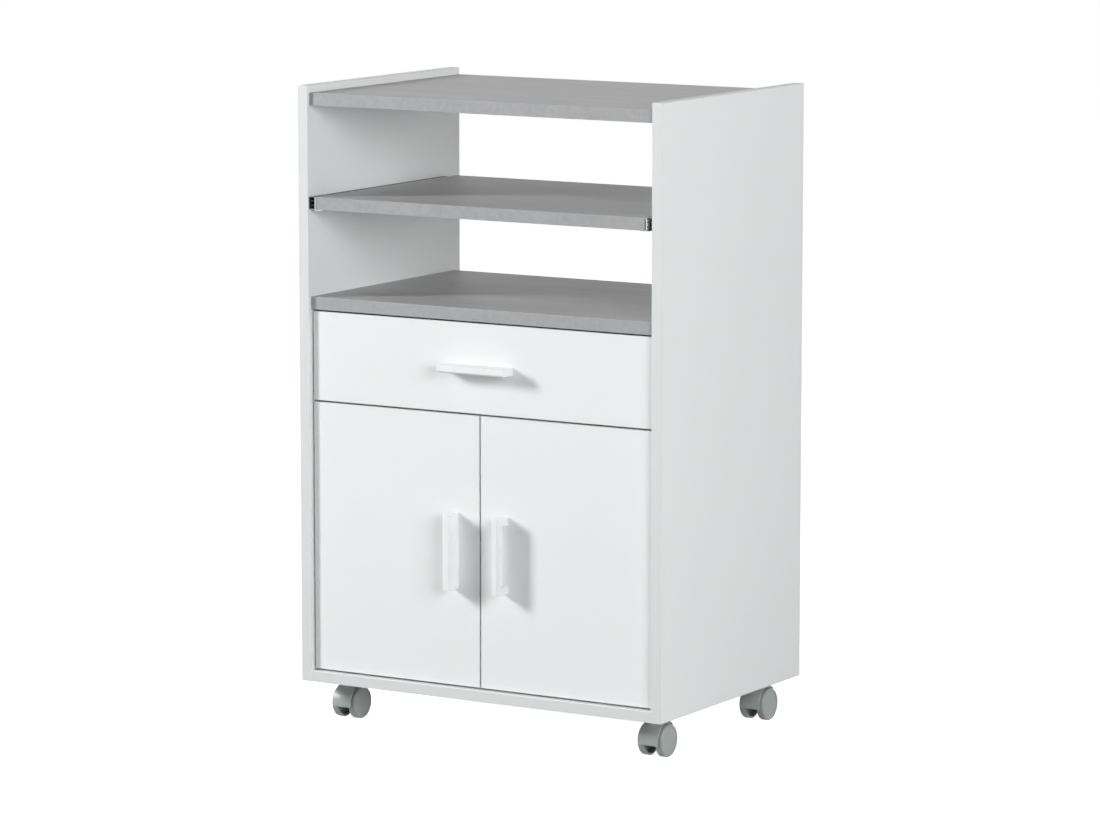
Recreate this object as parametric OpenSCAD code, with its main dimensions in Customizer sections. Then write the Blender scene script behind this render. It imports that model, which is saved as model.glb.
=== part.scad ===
// Microwave cart on twin-wheel casters: two open bays with a pull-out shelf, a drawer and a cupboard.
// X runs to the right, Y to the back, Z up. The origin is on the floor, under the middle of the cart.

/* [Carcass] */
// Width over the two side panels
width = 590; // [560:5:640]
// Depth of the side panels, front to back
depth = 400; // [390:5:430]
// Height of the side panels
side_h = 850; // [845:5:880]
// Thickness of the white boards
board_t = 16; // [15:1:18]
// Thickness of the grey shelves
shelf_t = 18; // [18:1:19]
// Thickness of the hardboard back and of the drawer bottom
hardboard_t = 3; // [3:0.5:4]
// How far the back and the lower boards stop short of the rear edge
back_recess = 16; // [12:1:20]

/* [Shelves] */
// How far the top shelf lies below the top of the side panels
top_drop = 10; // [8:1:14]
// Height of the pull-out shelf's top above the floor
pullout_z = 754; // [745:0.5:765]
// Depth of the pull-out shelf
pullout_depth = 370; // [360:5:378]
// Height of the fixed worktop's top above the floor
counter_z = 612; // [610:1:614]
// How far the top shelf's front lies behind the side panels' front edges
top_setback = 5; // [4:1:8]
// How far the pull-out shelf's front lies behind them
pullout_setback = 2; // [1:0.5:6]
// How far the worktop's front lies behind them
counter_setback = 6; // [4:1:8]
// Travel of the pull-out shelf
pullout_travel = 250; // [200:10:250]

/* [Drawer and doors] */
// Clearance round the drawer front and the doors
front_gap = 2.5; // [2.5:0.1:3]
// How far the drawer front and doors lie behind the side panels' front edges
face_setback = 8; // [7:0.5:9]
// Height of the drawer front
drawer_front_h = 126.5; // [124:0.5:127]
// Height of the drawer's sides
drawer_side_h = 90; // [80:1:92]
// Length of the drawer's sides
drawer_len = 350; // [340:1:350]
// Thickness of the drawer's sides and back
drawer_wall = 12; // [12:0.5:14]

/* [Handles] */
// Length of each handle
handle_len = 108; // [106:1:120]
// Width of the handle's bar
handle_w = 10.5; // [10:0.5:12]
// How far a handle stands out from the front it is on
handle_stand = 27; // [24:1:30]
// Thickness of the bar, front to back
handle_bar_t = 7; // [6:0.5:8]
// Distance of a door handle's middle from the middle of the cart
handle_x = 40.5; // [38:0.5:60]

/* [Casters] */
// Height of the carcass above the floor
caster_h = 60; // [60:1:64]
// Diameter of a caster wheel
wheel_d = 46; // [44:1:46]
// Width over a caster's two wheels
caster_w = 39; // [38:1:42]
// How far the wheel axle trails behind the swivel
caster_trail = 10; // [9:0.5:12]
// Distance of a swivel from the side of the cart
caster_side_inset = 42; // [38:1:60]
// Distance of a swivel from the front or rear edge
caster_end_inset = 55; // [50:1:80]

/* [Hidden] */
$fn = 48;

// Colours of the real surfaces
white_board = "#eef0f1";
grey_board = "#939496";
handle_white = "#f3f5f5";
zinc = "#a9adb0";
white_steel = "#e4e6e6";
black_steel = "#2a2c2f";
hardboard = "#dfe1e0";
caster_grey = "#90979a";
nylon = "#e9e6dc";
beech = "#c9a678";

// The cart is centred on the floor; the handles reach further forward than the side panels
handle_reach = handle_stand - face_setback;
front_y = -(depth + handle_reach) / 2 + handle_reach;
back_y = front_y + depth;
inner_x = width / 2 - board_t;
base_top = caster_h + board_t;
side_top = caster_h + side_h;
top_z = side_top - top_drop;
lower_back_y = back_y - back_recess;
back_edge = 1;
counter_under = counter_z - shelf_t;
pullout_under = pullout_z - shelf_t;

// Drawer front and doors, all inset between the side panels
face_y = front_y + face_setback;
face_back = face_y + board_t;
front_half = inner_x - front_gap;
drawer_top = counter_under - front_gap;
drawer_bot = drawer_top - drawer_front_h;
door_top = drawer_bot - front_gap;
door_bot = base_top + front_gap;

// Rail lying flat behind the foot of the drawer front, which it stops; the doors pass under it
rail_depth = 80;
rail_play = 1;
rail_y = face_back + rail_play;
rail_bot = door_top + rail_play;
rail_top = rail_bot + board_t;

// Knock-down joints: bolts and dowels in the end of every fixed board
bolt_r = 3;
bolt_depth = 11;
bolt_collar = 3;
bolt_neck_r = 2.5;
bolt_head_r = 3.4;
bolt_head_len = 4;
bolt_head_in = 2;
bolt_bore_r = 3.65;
cam_r = 7.5;
cam_h = 12;
cam_inset = 24;
cam_sink = 0.2;
cam_slot = [9, 1.6, 2.4];
dowel_r = 4;
dowel_len = 30;
dowel_play = 0.5;
bolt_inset = 60;
rail_bolt_in = 24;
dowel_step = 32;
fit = 0.05;
cam_hole_h = cam_h + 2 * cam_sink;

// Each row is a fixed board: middle height, underside, bolt places and dowel places along Y
end_ys = [front_y + bolt_inset, lower_back_y - bolt_inset];
dowel_ys = [end_ys[0] + dowel_step, end_ys[1] - dowel_step];
top_joint = [top_z - shelf_t / 2, top_z - shelf_t, end_ys, dowel_ys];
counter_joint = [counter_z - shelf_t / 2, counter_under, end_ys, dowel_ys];
base_joint = [caster_h + board_t / 2, caster_h, end_ys, dowel_ys];
rail_bolt_y = rail_y + rail_bolt_in;
rail_joint = [rail_bot + board_t / 2, rail_bot, [rail_bolt_y], [rail_bolt_y + dowel_step]];
joints = [top_joint, counter_joint, base_joint, rail_joint];

// Loose shelf in the cupboard, on four pins
inner_shelf_z = (base_top + door_top) / 2;
inner_shelf_y = front_y + 60;
inner_shelf_play = 1;
inner_shelf_back = lower_back_y - 3;
pin_r = 2.5;
pin_in = 10;
pin_out = 8;
pin_inset = 42;
pin_ys = [inner_shelf_y + pin_inset, inner_shelf_back - pin_inset];
pin_z = inner_shelf_z - pin_r;
pin_steps = [-32, 0, 32];

// Countersunk screws through 1.2 mm steel, and dome-headed ones in the hinge cups and caster plates
steel_t = 1.2;
screw_r = 1.6;
screw_head_r = 3;
screw_len = 14;
dome_r = 3;
dome_h = 1.5;
dome_screw_len = 12;
nail_r = 0.8;
nail_len = 18;
nail_head_r = 2;
nail_head_t = 0.6;
nail_pitch = 125;

// Ball slides of the pull-out shelf; a measure from the side panel inwards is called reach.
// The shelf lies on the foot of the inner member, whose web stands beside the shelf's end.
slide_len = 350;
slide_gap = 13;
slide_half_h = 8.5;
slide_reach = 8.6;
slide_lip = [0.8, 1.9];
slide_z = pullout_under + shelf_t / 2;
slide_y = front_y + pullout_setback + 0.5;
slide_screw_ys = [for (along = [35, 150, 300]) slide_y + along];
slide_screw_step = 12;
ball_r = 1.7;
ball_play = 0.075;
ball_reach = 5.7;
inner_half_h = slide_half_h - steel_t - 2 * (ball_r + ball_play);
ball_z = inner_half_h + ball_r + ball_play;
inner_reach = 3.2;
inner_lip = [0.8, 0.6];
web_reach = 9.6;
slide_foot = 11.5;
slide_foot_screw = 17.3;
cage_reach = [1.9, 8.2];
cage_t = 0.55;
cage_len = 96;
cage_y = slide_y + pullout_travel / 2 + 2;
ball_count = 8;
ball_pitch = 11;
shelf_half_w = inner_x - slide_gap;

// Roller runners of the drawer
runner_gap = 12.6;
runner_h = 32;
runner_reach = 9;
runner_z = rail_top + 2.5;
runner_y = face_back + 3;
runner_screw_ys = [for (along = [60, 170, 310]) runner_y + along];
runner_foot_lift = 5;
track_lift = 22.8;
track_reach = 2.6;
roller_r = 9.75;
roller_w = 6;
roller_reach = 8.4;
roller_play = 0.25;
roller_bore = 2.08;
roller_pin = 2;
pin_head_r = 3.2;
pin_head_t = 0.6;
roller_inset = 14;
front_roller = [runner_y + roller_inset, runner_z + track_lift - roller_r - roller_play];
rear_roller = [face_back + drawer_len - roller_inset, runner_z + steel_t + roller_r + roller_play];

// Drawer box
box_half = inner_x - runner_gap;
box_z = runner_z + runner_foot_lift + steel_t;
box_top = box_z + drawer_side_h;
bottom_z = box_z + 8;
bottom_play = 0.3;
groove = 5;
box_back = face_back + drawer_len;
box_fixing_zs = [box_z + 30, box_top - 20];
box_screw_len = 30;
cam_floor = 2.6;
drawer_cam_h = drawer_wall - cam_floor;

// Concealed hinges: the pivot lies hinge_in from the door's outer edge, pivot_deep behind its face
hinge_in = 18;
pivot_deep = 9;
pivot_x = front_half - hinge_in;
pivot_y = face_y + pivot_deep;
cup_r = 17.5;
cup_in = 22.5;
cup_deep = 12;
cup_wall = 1;
cup_lip = 2;
cup_x = front_half - cup_in;
wing_mid = 7.5;
wing_half_w = 5;
wing_half_h = 28;
wing_screw_z = 24;
hinge_pin_r = 1.5;
hinge_inset = 70;
hinge_zs = [door_bot + hinge_inset, door_top - hinge_inset];
arm_half = 7.5;
arm_t = 2;
arm_turn = 21;
arm_end = 64;
plate_y = [36, 60];
plate_half = 24;
plate_screw_z = 17;
panel_reach = hinge_in + front_gap;
plate_mid = (plate_y[0] + plate_y[1]) / 2;
arm_out = arm_t - panel_reach;
arm_deep = 9.5;
arm_wall = 1.5;
arm_neck = 12;
arm_low = 4.6;
knuckle_r = 3.4;

// Handles
handle_wall = 2;
handle_ease = 2.2;
handle_foot = 12;
bar_inner = handle_stand - handle_bar_t;
screw_pitch = handle_len - handle_foot;
handle_z = (door_bot + door_top) / 2;
drawer_handle_z = (drawer_bot + drawer_top) / 2;
handle_screw_r = 2;
handle_bite = 9;
pan_r = 4;
pan_h = 2.2;

// Casters
wheel_r = wheel_d / 2;
hood_in = wheel_r + 2;
hood_out = wheel_r + 4;
hood_half = caster_w / 2 - 2;
hood_from = -20;
hood_to = 129;
tread_in = 10.5;
rim_t = 2.5;
disc_t = 2.2;
wheel_round = 1.5;
hub_r = 6;
axle_r = 3;
axle_play = 0.3;
web_half = 3;
boss_r = 8;
boss_top = caster_h - 9;
boss_bot = wheel_r + 7;
stem_r = 4;
stem_bot = boss_bot + 3;
socket_bot = boss_bot + 2;
turn_fit = 0.08;
collar_z = caster_h - 8;
plate_t = 2;
plate_w = 38;
plate_hole = 14;
caster_x = width / 2 - caster_side_inset;
caster_front = front_y + caster_end_inset;
caster_back = back_y - caster_end_inset;

// A box between two corners
module slab(low, high) {
    translate(low) cube(high - low);
}

// A rod along X that starts at the origin
module rod_x(r, len) {
    rotate([0, 90, 0]) cylinder(r = r, h = len);
}

module mirrored() {
    children();
    mirror([1, 0, 0]) children();
}

// Countersunk screw along X, its head's face at the origin; grow is the play of the hole it goes in
module screw_x(len, grow = 0) {
    rotate([0, 90, 0]) cylinder(r1 = screw_head_r + grow, r2 = screw_r + grow, h = steel_t);
    translate([steel_t - 0.01, 0, 0]) rod_x(screw_r + grow, len - steel_t + 4 * grow);
}

// Dome-headed screw along Z, from the face at the origin upwards
module dome_screw(grow = 0) {
    cylinder(r = screw_r + grow, h = dome_screw_len + 4 * grow);
    if (grow == 0) translate([0, 0, -dome_h]) cylinder(r = dome_r, h = dome_h);
}

// A cam along Z, its face at the origin: a drum with a pocket for a bolt's head and a slot to turn it by
module joint_cam(len, bolt_at) {
    difference() {
        translate([0, 0, cam_sink]) cylinder(r = cam_r, h = len);
        translate([0, 0, bolt_at]) rod_x(bolt_bore_r, cam_r + 1);
        cube(cam_slot, center = true);
    }
}

// Its bolt along X: from the cam behind the origin into the board beyond it
module joint_bolt() {
    translate([bolt_head_in - cam_inset, 0, 0]) rod_x(bolt_head_r, bolt_head_len);
    translate([bolt_head_in - cam_inset, 0, 0]) rod_x(bolt_neck_r, cam_inset - bolt_head_in);
    translate([-bolt_collar, 0, 0]) rod_x(bolt_r, bolt_collar + bolt_depth - 0.5);
}

// Carcass ------------------------------------------------------------------------------------

module side_panel() {
    difference() {
        slab([inner_x, front_y, caster_h], [width / 2, back_y, side_top]);
        for (j = joints) {
            for (y = j[2]) translate([inner_x - 1, y, j[0]]) rod_x(bolt_r + fit, bolt_depth + 1);
            for (y = j[3]) translate([inner_x - 1, y, j[0]]) rod_x(dowel_r + fit, bolt_depth + 1);
        }
        for (y = pin_ys, step = pin_steps)
            translate([inner_x - 1, y, pin_z + step]) rod_x(pin_r + fit, pin_in + 1.5);
        panel_screws(fit);
    }
}

// Screws that go into a side panel: ball slide, drawer runner and hinge plates
module panel_screws(grow = 0) {
    for (y = slide_screw_ys) translate([inner_x, y, slide_z]) panel_screw(grow);
    for (y = runner_screw_ys) translate([inner_x, y, runner_z + runner_h / 2]) panel_screw(grow);
    for (z = hinge_zs, side = [-1, 1])
        translate([inner_x, pivot_y + plate_mid, z + side * plate_screw_z]) panel_screw(grow);
}

module panel_screw(grow) {
    translate([-steel_t, 0, 0]) screw_x(screw_len, grow);
}

module right_side_panel() {
    color(white_board) side_panel();
}

module left_side_panel() {
    color(white_board) mirror([1, 0, 0]) side_panel();
}

// A board between the side panels, drilled at both ends for its cams, bolts and dowels
module fixed_board(y0, y1, joint, t) {
    difference() {
        slab([-inner_x, y0, joint[1]], [inner_x, y1, joint[1] + t]);
        mirrored() {
            for (y = joint[2]) translate([inner_x - cam_inset, y, joint[1]]) {
                translate([0, 0, joint[0] - joint[1]]) rod_x(bolt_bore_r, cam_inset + 1);
                translate([0, 0, -1]) cylinder(r = cam_r + fit, h = cam_hole_h + 1);
            }
            for (y = joint[3])
                translate([inner_x - dowel_len + bolt_depth - dowel_play, y, joint[0]])
                    rod_x(dowel_r + fit, dowel_len);
        }
    }
}

module top_shelf() {
    color(grey_board) fixed_board(front_y + top_setback, back_y - 1, top_joint, shelf_t);
}

module counter_shelf() {
    color(grey_board) difference() {
        fixed_board(front_y + counter_setback, lower_back_y, counter_joint, shelf_t);
        back_nails(fit);
    }
}

module base_panel() {
    color(white_board) difference() {
        fixed_board(front_y, lower_back_y, base_joint, board_t);
        caster_screws(fit);
        back_nails(fit);
    }
}

module middle_rail() {
    color(white_board) fixed_board(rail_y, rail_y + rail_depth, rail_joint, board_t);
}

module inner_shelf() {
    half = inner_x - inner_shelf_play;
    color(white_board)
        slab([-half, inner_shelf_y, inner_shelf_z], [half, inner_shelf_back, inner_shelf_z + board_t]);
}

module shelf_pins() {
    color(zinc) mirrored() for (y = pin_ys)
        translate([inner_x - pin_out, y, pin_z]) rod_x(pin_r, pin_out + pin_in);
}

module back_panel() {
    half = inner_x - back_edge;
    color(hardboard) difference() {
        slab([-half, lower_back_y, caster_h + back_edge],
            [half, lower_back_y + hardboard_t, counter_z - back_edge]);
        back_nails(fit);
    }
}

// Nails through the back into the rear edges of the base and the worktop
module back_nails(grow = 0) {
    for (z = [caster_h + board_t / 2, counter_z - shelf_t / 2], i = [-2:2])
        translate([i * nail_pitch, lower_back_y + hardboard_t + nail_head_t, z]) rotate([90, 0, 0]) {
            cylinder(r = nail_r + grow, h = nail_head_t + nail_len + 4 * grow);
            if (grow == 0) cylinder(r = nail_head_r, h = nail_head_t);
        }
}

module joint_fittings() {
    mirrored() for (j = joints) {
        color(zinc) for (y = j[2]) {
            translate([inner_x - cam_inset, y, j[1]]) joint_cam(cam_h, j[0] - j[1]);
            translate([inner_x, y, j[0]]) joint_bolt();
        }
        for (y = j[3]) translate([inner_x - dowel_len + bolt_depth, y, j[0]])
            color(beech) rod_x(dowel_r, dowel_len - dowel_play);
    }
}

// All the screws and nails that hold things to the carcass
module small_fixings() {
    color(zinc) {
        mirrored() panel_screws();
        caster_screws();
        back_nails();
    }
}

// Pull-out shelf and its ball slides ------------------------------------------------------------

// Profiles are drawn with X as the reach from the side panel and Y as the height, then run along Y
module profile_along_y(y0, len, z) {
    translate([inner_x, y0 + len, z]) rotate([90, 0, 0]) mirror([1, 0, 0]) linear_extrude(len) children();
}

module slide_outer_profile() {
    translate([0, -slide_half_h]) square([steel_t, 2 * slide_half_h]);
    for (side = [0, 1]) mirror([0, side]) {
        translate([0, slide_half_h - steel_t]) square([slide_reach, steel_t]);
        translate([slide_reach, slide_half_h] - slide_lip) square(slide_lip);
    }
}

module slide_inner_profile() {
    under = pullout_under - slide_z;
    for (side = [0, 1]) mirror([0, side]) {
        translate([inner_reach, inner_half_h - steel_t]) square([web_reach - inner_reach, steel_t]);
        translate([inner_reach, inner_half_h - steel_t]) square(inner_lip + [0, steel_t]);
    }
    translate([web_reach, under - steel_t]) square([steel_t, slide_half_h - under + steel_t]);
    translate([web_reach, under - steel_t]) square([slide_foot, steel_t]);
}

module cage_profile() {
    translate([cage_reach[0], -ball_z]) square([cage_t, 2 * ball_z]);
    for (side = [0, 1]) mirror([0, side])
        translate([cage_reach[0], ball_z - cage_t / 2]) square([cage_reach[1] - cage_reach[0], cage_t]);
}

module slide_outer() {
    difference() {
        profile_along_y(slide_y, slide_len, slide_z) slide_outer_profile();
        for (y = slide_screw_ys) translate([inner_x, y, slide_z]) panel_screw(fit);
    }
    translate([inner_x - slide_reach, slide_y + slide_len, slide_z - slide_half_h])
        cube([slide_reach, steel_t, 2 * slide_half_h]);
}

module slide_inner() {
    difference() {
        profile_along_y(slide_y, slide_len - 0.5, slide_z) slide_inner_profile();
        slide_inner_screws(fit);
    }
}

// Screws up through the inner member's foot into the shelf's underside
module slide_inner_screws(grow = 0) {
    for (y = slide_screw_ys)
        translate([inner_x - slide_foot_screw, y + slide_screw_step, pullout_under - steel_t])
            rotate([0, -90, 0]) screw_x(screw_len, grow);
}

module ball_places() {
    for (i = [0:ball_count - 1], side = [-1, 1])
        translate([inner_x - ball_reach, cage_y + cage_len / 2 + (i - (ball_count - 1) / 2) * ball_pitch,
            slide_z + side * ball_z]) children();
}

module ball_cage() {
    difference() {
        profile_along_y(cage_y, cage_len, slide_z) cage_profile();
        ball_places() cylinder(r = ball_r + 0.15, h = 2, center = true);
    }
    ball_places() sphere(r = ball_r);
}

module shelf_slide_outer_right() {
    color(black_steel) slide_outer();
}

module shelf_slide_outer_left() {
    color(black_steel) mirror([1, 0, 0]) slide_outer();
}

module shelf_slide_inner_right() {
    color(white_steel) slide_inner();
    color(zinc) slide_inner_screws();
}

module shelf_slide_inner_left() {
    mirror([1, 0, 0]) shelf_slide_inner_right();
}

module shelf_ball_cage_right() {
    color(black_steel) ball_cage();
}

module shelf_ball_cage_left() {
    color(black_steel) mirror([1, 0, 0]) ball_cage();
}

module sliding_shelf() {
    color(grey_board) difference() {
        slab([-shelf_half_w, front_y + pullout_setback, pullout_under],
            [shelf_half_w, front_y + pullout_setback + pullout_depth, pullout_z]);
        mirrored() slide_inner_screws(fit);
    }
}

// Drawer ------------------------------------------------------------------------------------------

module drawer_front() {
    color(white_board) difference() {
        slab([-front_half, face_y, drawer_bot], [front_half, face_back, drawer_top]);
        slab([-box_half + drawer_wall - groove, face_back - groove, bottom_z - fit],
            [box_half - drawer_wall + groove, face_back + 1, bottom_z + hardboard_t + fit]);
        handle_screws(0, drawer_handle_z, 90, fit);
        mirrored() drawer_cam_holes();
    }
}

module box_side() {
    difference() {
        slab([box_half - drawer_wall, face_back, box_z], [box_half, box_back, box_top]);
        slab([box_half - drawer_wall - 1, face_back - 1, bottom_z - fit],
            [box_half - drawer_wall + groove, box_back + 1, bottom_z + hardboard_t + fit]);
        box_screws(fit);
        drawer_cam_holes();
        drawer_runner_screws(fit);
    }
}

// Screws through the drawer's sides into its back
module box_screws(grow = 0) {
    for (z = box_fixing_zs)
        translate([box_half, box_back - drawer_wall / 2, z]) mirror([1, 0, 0]) screw_x(box_screw_len, grow);
}

// Screws up through the runner's foot into the side's lower edge
module drawer_runner_screws(grow = 0) {
    for (y = runner_screw_ys) translate([inner_x - runner_gap - drawer_wall / 3, y, box_z - steel_t])
        rotate([0, -90, 0]) screw_x(screw_len, grow);
}

// Cams and bolts that pull the drawer's sides against its front
module drawer_cams() {
    for (z = box_fixing_zs) {
        translate([box_half - drawer_wall, face_back + cam_inset, z])
            rotate([-90, 0, 0]) rotate([0, 90, 0]) joint_cam(drawer_cam_h, drawer_wall / 2);
        translate([box_half - drawer_wall / 2, face_back, z]) rotate([0, 0, -90]) joint_bolt();
    }
}

module drawer_cam_holes() {
    for (z = box_fixing_zs) translate([box_half - drawer_wall / 2, face_back, z]) {
        rotate([90, 0, 0]) cylinder(r = bolt_r + fit, h = bolt_depth);
        rotate([-90, 0, 0]) cylinder(r = bolt_bore_r, h = cam_inset);
        translate([-drawer_wall / 2 - 1, cam_inset, 0]) rod_x(cam_r + fit, drawer_cam_h + 2 * cam_sink + 1);
    }
}

module drawer_side_right() {
    color(white_board) box_side();
}

module drawer_side_left() {
    color(white_board) mirror([1, 0, 0]) box_side();
}

module drawer_back() {
    color(white_board) difference() {
        slab([drawer_wall - box_half, box_back - drawer_wall, bottom_z + hardboard_t],
            [box_half - drawer_wall, box_back, box_top]);
        mirrored() box_screws(fit);
    }
}

module drawer_bottom() {
    half = box_half - drawer_wall + groove - bottom_play;
    color(hardboard)
        slab([-half, face_back - groove + bottom_play, bottom_z], [half, box_back, bottom_z + hardboard_t]);
}

// The member on the cabinet: a C that carries the rear roller, with its own roller in front
module cabinet_runner() {
    difference() {
        profile_along_y(runner_y, drawer_len, runner_z) {
            square([steel_t, runner_h]);
            square([runner_reach, steel_t]);
            translate([0, runner_h - steel_t]) square([runner_reach, steel_t]);
        }
        for (y = runner_screw_ys) translate([inner_x, y, runner_z + runner_h / 2]) panel_screw(fit);
    }
    translate([inner_x, front_roller[0], front_roller[1]]) mirror([1, 0, 0]) {
        rod_x(roller_pin, roller_reach + roller_play + pin_head_t);
        translate([roller_reach + roller_play, 0, 0]) rod_x(pin_head_r, pin_head_t);
    }
}

// A roller on its pin: at is the pin's place along Y and Z
module roller(at) {
    translate([inner_x - roller_reach, at[0], at[1]]) difference() {
        rod_x(roller_r, roller_w);
        translate([-1, 0, 0]) rod_x(roller_bore, roller_w + 2);
    }
}

// The member on the drawer: a foot under the side, a web beside it and a track that rides the front roller
module drawer_runner() {
    difference() {
        profile_along_y(face_back + 1, drawer_len - 1, runner_z) {
            translate([runner_gap - steel_t, runner_foot_lift]) {
                square([drawer_wall, steel_t]);
                square([steel_t, track_lift + steel_t - runner_foot_lift]);
            }
            translate([track_reach, track_lift]) square([runner_gap - track_reach, steel_t]);
        }
        drawer_runner_screws(fit);
    }
    from = runner_gap - steel_t / 2;
    to = roller_reach - roller_w - roller_play;
    translate([inner_x - from, rear_roller[0], rear_roller[1]]) {
        rod_x(pin_head_r, from - roller_reach - roller_play);
        rod_x(roller_pin, from - to + pin_head_t);
        translate([from - to, 0, 0]) rod_x(pin_head_r, pin_head_t);
    }
}

module cabinet_runner_right() {
    color(white_steel) cabinet_runner();
}

module cabinet_runner_left() {
    color(white_steel) mirror([1, 0, 0]) cabinet_runner();
}

module cabinet_roller_right() {
    color(nylon) roller(front_roller);
}

module cabinet_roller_left() {
    color(nylon) mirror([1, 0, 0]) roller(front_roller);
}

module drawer_runner_right() {
    color(white_steel) drawer_runner();
}

module drawer_runner_left() {
    color(white_steel) mirror([1, 0, 0]) drawer_runner();
}

module drawer_roller_right() {
    color(nylon) roller(rear_roller);
}

module drawer_roller_left() {
    color(nylon) mirror([1, 0, 0]) roller(rear_roller);
}

module drawer_fittings() {
    color(zinc) {
        handle_screws(0, drawer_handle_z, 90);
        mirrored() {
            box_screws();
            drawer_cams();
            drawer_runner_screws();
        }
    }
}

// Handles -----------------------------------------------------------------------------------------

// Drawn upright: the bar stands forward on two feet, and a thin wall closes the side at +X
module handle() {
    half = handle_w / 2;
    open_half = handle_len / 2 - handle_foot;
    difference() {
        translate([0, 0, -handle_len / 2]) linear_extrude(handle_len) polygon([
            [half, 0], [-half, 0], [-half, handle_ease - handle_stand],
            [handle_ease - half, -handle_stand], [half, -handle_stand]
        ]);
        slab([-half - 1, -bar_inner, -open_half], [half - handle_wall, 1, open_half]);
        for (side = [-1, 1]) translate([0, 1, side * screw_pitch / 2]) rotate([90, 0, 0])
            cylinder(r = handle_screw_r + fit, h = handle_bite + 1.5);
    }
}

// A handle's two screws, from the back of the board through it into the feet; turn is 90 for a level handle
module handle_screws(x, z, turn, grow = 0) {
    start = grow > 0 ? -1 : 0;
    translate([x, face_back, z]) rotate([0, turn, 0]) for (side = [-1, 1])
        translate([0, 0, side * screw_pitch / 2]) rotate([90, 0, 0]) {
            translate([0, 0, start]) cylinder(r = handle_screw_r + grow, h = board_t + handle_bite - start);
            if (grow == 0) translate([0, 0, -pan_h]) cylinder(r = pan_r, h = pan_h);
        }
}

module drawer_handle() {
    color(handle_white) translate([0, face_y, drawer_handle_z]) rotate([0, -90, 0]) handle();
}

module left_door_handle() {
    color(handle_white) translate([-handle_x, face_y, handle_z]) handle();
}

module right_door_handle() {
    color(handle_white) translate([handle_x, face_y, handle_z]) mirror([1, 0, 0]) handle();
}

// Doors and hinges --------------------------------------------------------------------------------

module door() {
    difference() {
        slab([front_gap / 2, face_y, door_bot], [front_half, face_back, door_top]);
        for (z = hinge_zs) translate([cup_x, face_back - cup_deep, z]) rotate([-90, 0, 0])
            cylinder(r = cup_r, h = cup_deep + 1);
        handle_screws(handle_x, handle_z, 0, fit);
        cup_screws(fit);
    }
}

module hinge_cup() {
    difference() {
        union() {
            translate([0, -cup_deep, 0]) rotate([-90, 0, 0])
                cylinder(r = cup_r - fit, h = cup_deep + steel_t);
            rotate([-90, 0, 0]) cylinder(r = cup_r + cup_lip, h = steel_t);
            slab([-wing_mid - wing_half_w, 0, -wing_half_h], [wing_half_w - wing_mid, steel_t, wing_half_h]);
        }
        translate([0, cup_wall - cup_deep, 0]) rotate([-90, 0, 0])
            cylinder(r = cup_r - cup_wall - fit, h = cup_deep + 3);
        for (side = [-1, 1]) translate([-wing_mid, -1, side * wing_screw_z])
            rotate([-90, 0, 0]) cylinder(r = screw_r + fit, h = steel_t + 2);
    }
    pin_half = cup_r - cup_wall;
    translate([pivot_x - cup_x, pivot_y - face_back, -pin_half]) cylinder(r = hinge_pin_r, h = 2 * pin_half);
}

module hinge_cups() {
    for (z = hinge_zs) translate([cup_x, face_back, z]) hinge_cup();
}

// Screws that hold the cups' wings to the door
module cup_screws(grow = 0) {
    for (z = hinge_zs, side = [-1, 1])
        translate([cup_x - wing_mid, face_back + steel_t, z + side * wing_screw_z])
            rotate([90, 0, 0]) dome_screw(grow);
}

module door_screws() {
    handle_screws(handle_x, handle_z, 0);
    cup_screws();
}

// The arm comes out of the cup, clears the turning door and runs back along the side panel to its plate.
// Drawn about the pivot, with X towards the middle of the cart.
module hinge_arm() {
    translate([pivot_x, pivot_y, 0]) mirror([1, 0, 0]) {
        difference() {
            union() {
                translate([0, 0, -arm_half]) cylinder(r = knuckle_r, h = 2 * arm_half);
                translate([0, 0, -arm_half]) linear_extrude(2 * arm_half) polygon([
                    [0, hinge_pin_r + fit], [0, knuckle_r],
                    [arm_neck, arm_low + arm_t], [arm_neck, arm_turn],
                    [arm_out, arm_turn], [arm_out, arm_turn + arm_t],
                    [arm_neck + arm_t, arm_turn + arm_t], [arm_neck + arm_t, arm_low]
                ]);
                slab([arm_out, arm_turn, -arm_half], [arm_out + arm_deep, arm_end, arm_half]);
            }
            translate([0, 0, -arm_half - 1]) cylinder(r = hinge_pin_r + fit, h = 2 * arm_half + 2);
            slab([arm_out - 1, arm_turn + arm_t, arm_wall - arm_half],
                [arm_out + arm_deep - arm_wall, arm_end + 1, arm_half - arm_wall]);
        }
        difference() {
            slab([-panel_reach, plate_y[0], -plate_half], [arm_out, plate_y[1], plate_half]);
            for (side = [-1, 1]) translate([-panel_reach, plate_mid, side * plate_screw_z])
                mirror([1, 0, 0]) plate_screw_hole();
        }
    }
}

// Countersunk hole right through a hinge plate, which is thicker than the head is deep
module plate_screw_hole() {
    panel_screw(fit);
    translate([-steel_t - arm_t, 0, 0]) rod_x(screw_head_r + fit, arm_t + 0.01);
}

module hinge_arms() {
    for (z = hinge_zs) translate([0, 0, z]) hinge_arm();
}

module right_door() {
    color(white_board) door();
}

module left_door() {
    color(white_board) mirror([1, 0, 0]) door();
}

module right_hinge_cups() {
    color(zinc) hinge_cups();
}

module left_hinge_cups() {
    color(zinc) mirror([1, 0, 0]) hinge_cups();
}

module right_hinge_arms() {
    color(zinc) hinge_arms();
}

module left_hinge_arms() {
    color(zinc) mirror([1, 0, 0]) hinge_arms();
}

module right_door_screws() {
    color(zinc) door_screws();
}

module left_door_screws() {
    color(zinc) mirror([1, 0, 0]) door_screws();
}

// Casters -----------------------------------------------------------------------------------------

// Places of the four swivels: children are drawn about each swivel axis
module at_casters() {
    for (x = [-caster_x, caster_x], y = [caster_front, caster_back]) translate([x, y, 0]) children();
}

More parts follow.
